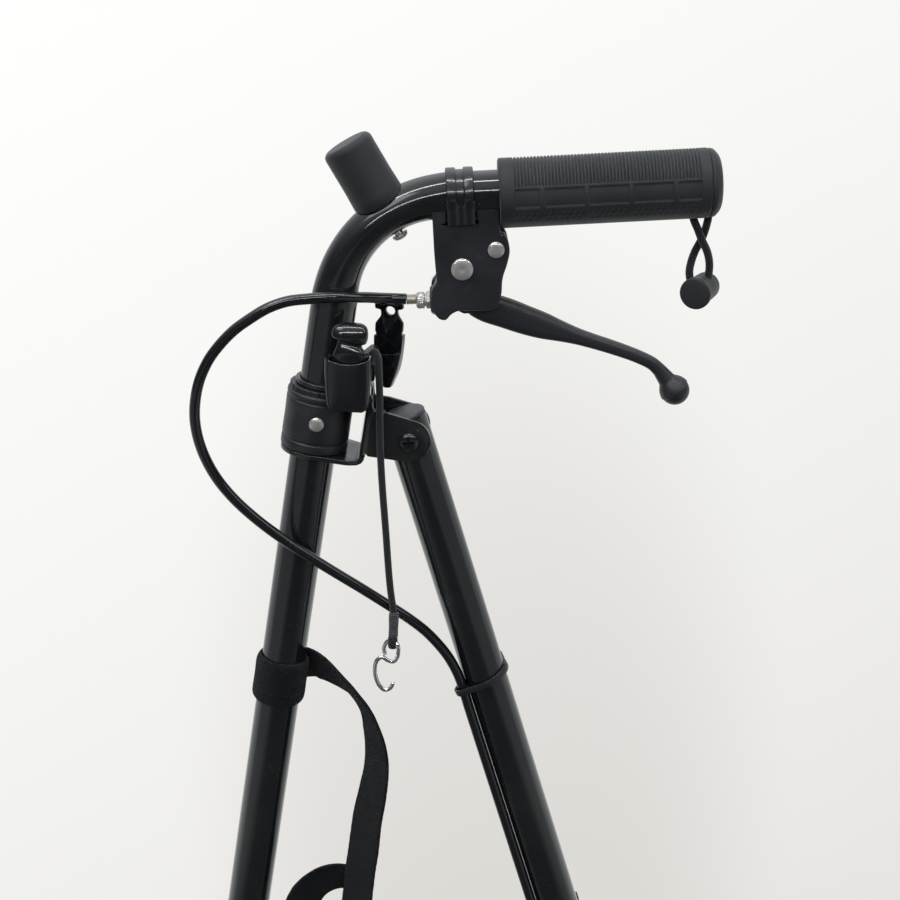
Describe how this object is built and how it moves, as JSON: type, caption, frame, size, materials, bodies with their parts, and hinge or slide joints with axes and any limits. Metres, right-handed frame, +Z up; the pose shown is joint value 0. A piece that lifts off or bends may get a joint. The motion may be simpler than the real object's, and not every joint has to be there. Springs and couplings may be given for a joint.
{
  "type": "wheeled_walking_cane",
  "caption": "Wheeled walking cane with a ribbed side grip, hand brake lever, folding rear leg, trailing caster and braked rear wheels",
  "frame": {"origin": "On the floor, midway between the outermost edges of the front and rear wheels and between the two rear wheels.", "axes": "+X points the way the grip points, from the front caster towards the rear wheels; -Y is the near side in the picture; +Z is up."},
  "size_m": [0.4252, 0.244, 0.9011],
  "materials": {
    "black_paint": "gloss black powder coat",
    "black_plastic": "moulded black nylon, satin",
    "black_gloss_plastic": "polished black plastic",
    "black_rubber": "soft black rubber, matte",
    "tyre_rubber": "solid black tyre rubber",
    "black_cord": "black braid and webbing",
    "bright_steel": "zinc plated steel",
    "chrome": "bright chrome wire",
    "hub_plastic": "dark grey moulded nylon"
  },
  "bodies": {
    "frame": {"main_tube": "black_paint", "grip": "black_rubber", "grip_end_plug": "black_rubber", "bumper": "black_rubber", "bumper_screw": "bright_steel", "brake_clamp_band": "black_paint", "brake_housing": "black_plastic", "lever_pin": "bright_steel", "clamp_pin": "bright_steel", "barrel_adjuster": "bright_steel", "cable_ferrule": "bright_steel", "inner_wire": "bright_steel", "grip_loop": "black_cord", "loop_toggle": "black_gloss_plastic", "fold_collar": "black_plastic", "collar_rivet": "bright_steel", "hinge_bracket": "black_paint", "pivot_bolt": "black_paint", "pivot_nut": "bright_steel", "clip_band": "black_plastic", "clip_cup_near": "black_gloss_plastic", "clip_cup_far": "black_gloss_plastic", "clip_tongue_near": "black_gloss_plastic", "clip_tongue_far": "black_gloss_plastic", "lanyard_cord": "black_cord", "lanyard_whipping": "black_cord", "s_hook": "chrome", "strap_wrap": "black_cord", "strap_tail": "black_cord", "caster_head": "black_plastic", "brake_cable": "black_gloss_plastic"},
    "lever": {"brake_lever": "black_paint", "cable_nipple": "bright_steel"},
    "rear_leg": {"rear_leg_tube": "black_paint", "leg_top_plug": "black_plastic", "axle_tee": "black_plastic", "axle_cross_tube": "black_paint", "rear_axle": "bright_steel", "axle_nut_near": "bright_steel", "axle_nut_far": "bright_steel", "cable_stop": "black_plastic", "brake_wire": "bright_steel", "cable_tie_top": "black_plastic", "cable_tie_middle": "black_plastic", "cable_tie_low": "black_plastic"},
    "brake": {"brake_bar": "black_paint", "brake_shoe_near": "black_rubber", "brake_shoe_far": "black_rubber"},
    "rear_wheel_near": {"rear_hub_near": "hub_plastic", "rear_tyre_near": "tyre_rubber"},
    "rear_wheel_far": {"rear_hub_far": "hub_plastic", "rear_tyre_far": "tyre_rubber"},
    "caster": {"caster_fork": "black_paint", "front_axle": "bright_steel", "front_axle_nut": "bright_steel"},
    "front_wheel": {"front_hub": "hub_plastic", "front_tyre": "tyre_rubber"}
  },
  "joints": [
    {"name": "leg_fold", "type": "hinge", "parent": "frame", "child": "rear_leg", "pos_m": [-0.00957, 0, 0.7328], "axis": [0, 1, 0], "range_deg": [0, 18], "deforming": ["brake_cable"]},
    {"name": "lever_squeeze", "type": "hinge", "parent": "frame", "child": "lever", "pos_m": [0.02464, 0, 0.8281], "axis": [0, -1, 0], "range_deg": [0, 16], "stiffness_Nm_per_rad": 1, "springref_deg": -17.19},
    {"name": "brake_turn", "type": "hinge", "parent": "rear_leg", "child": "brake", "pos_m": [0.10745, 0, 0.12943], "axis": [0, -1, 0], "range_deg": [0, 2.5]},
    {"name": "rear_wheel_near_spin", "type": "hinge", "parent": "rear_leg", "child": "rear_wheel_near", "pos_m": [0.15012, -0.1, 0.0625], "axis": [0, 1, 0], "continuous": true},
    {"name": "rear_wheel_far_spin", "type": "hinge", "parent": "rear_leg", "child": "rear_wheel_far", "pos_m": [0.15012, 0.1, 0.0625], "axis": [0, 1, 0], "continuous": true},
    {"name": "caster_swivel", "type": "hinge", "parent": "frame", "child": "caster", "pos_m": [-0.17512, 0, 0.16], "axis": [0, 0, 1], "continuous": true},
    {"name": "front_wheel_spin", "type": "hinge", "parent": "caster", "child": "front_wheel", "pos_m": [-0.15012, 0, 0.0625], "axis": [0, 1, 0], "continuous": true}
  ],
  "couplings": [
    {"joint": "brake_turn", "follows": "lever_squeeze", "ratio": 0.15625}
  ]
}
